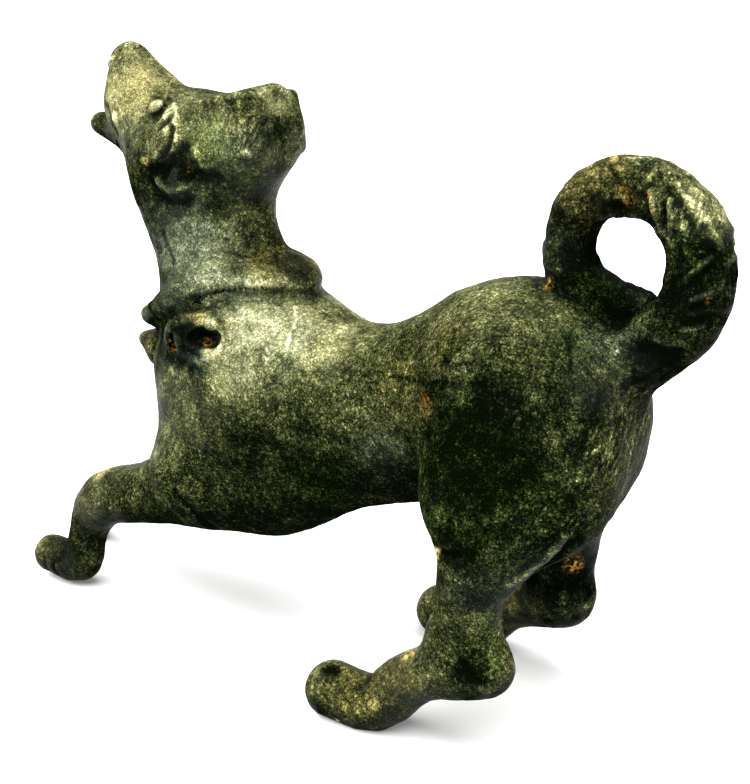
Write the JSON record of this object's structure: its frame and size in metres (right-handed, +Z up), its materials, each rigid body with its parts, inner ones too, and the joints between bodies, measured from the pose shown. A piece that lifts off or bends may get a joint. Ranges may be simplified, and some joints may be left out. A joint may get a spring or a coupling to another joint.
{
  "type": "dog figurine",
  "caption": "Small cast bronze figurine of a crouching dog with a collar, its head thrown back, mouth open and tail curled into a ring.",
  "frame": {"origin": "on the ground under the middle of the dog's box", "axes": "-X is where the dog faces, -Y is its left side, +Z is up"},
  "size_m": [0.0893, 0.0275, 0.0636],
  "materials": {
    "bronze": "dull dark olive-green patina, worn to gold-brown on raised spots"
  },
  "bodies": {
    "root": {"dog": "bronze"}
  },
  "joints": []
}
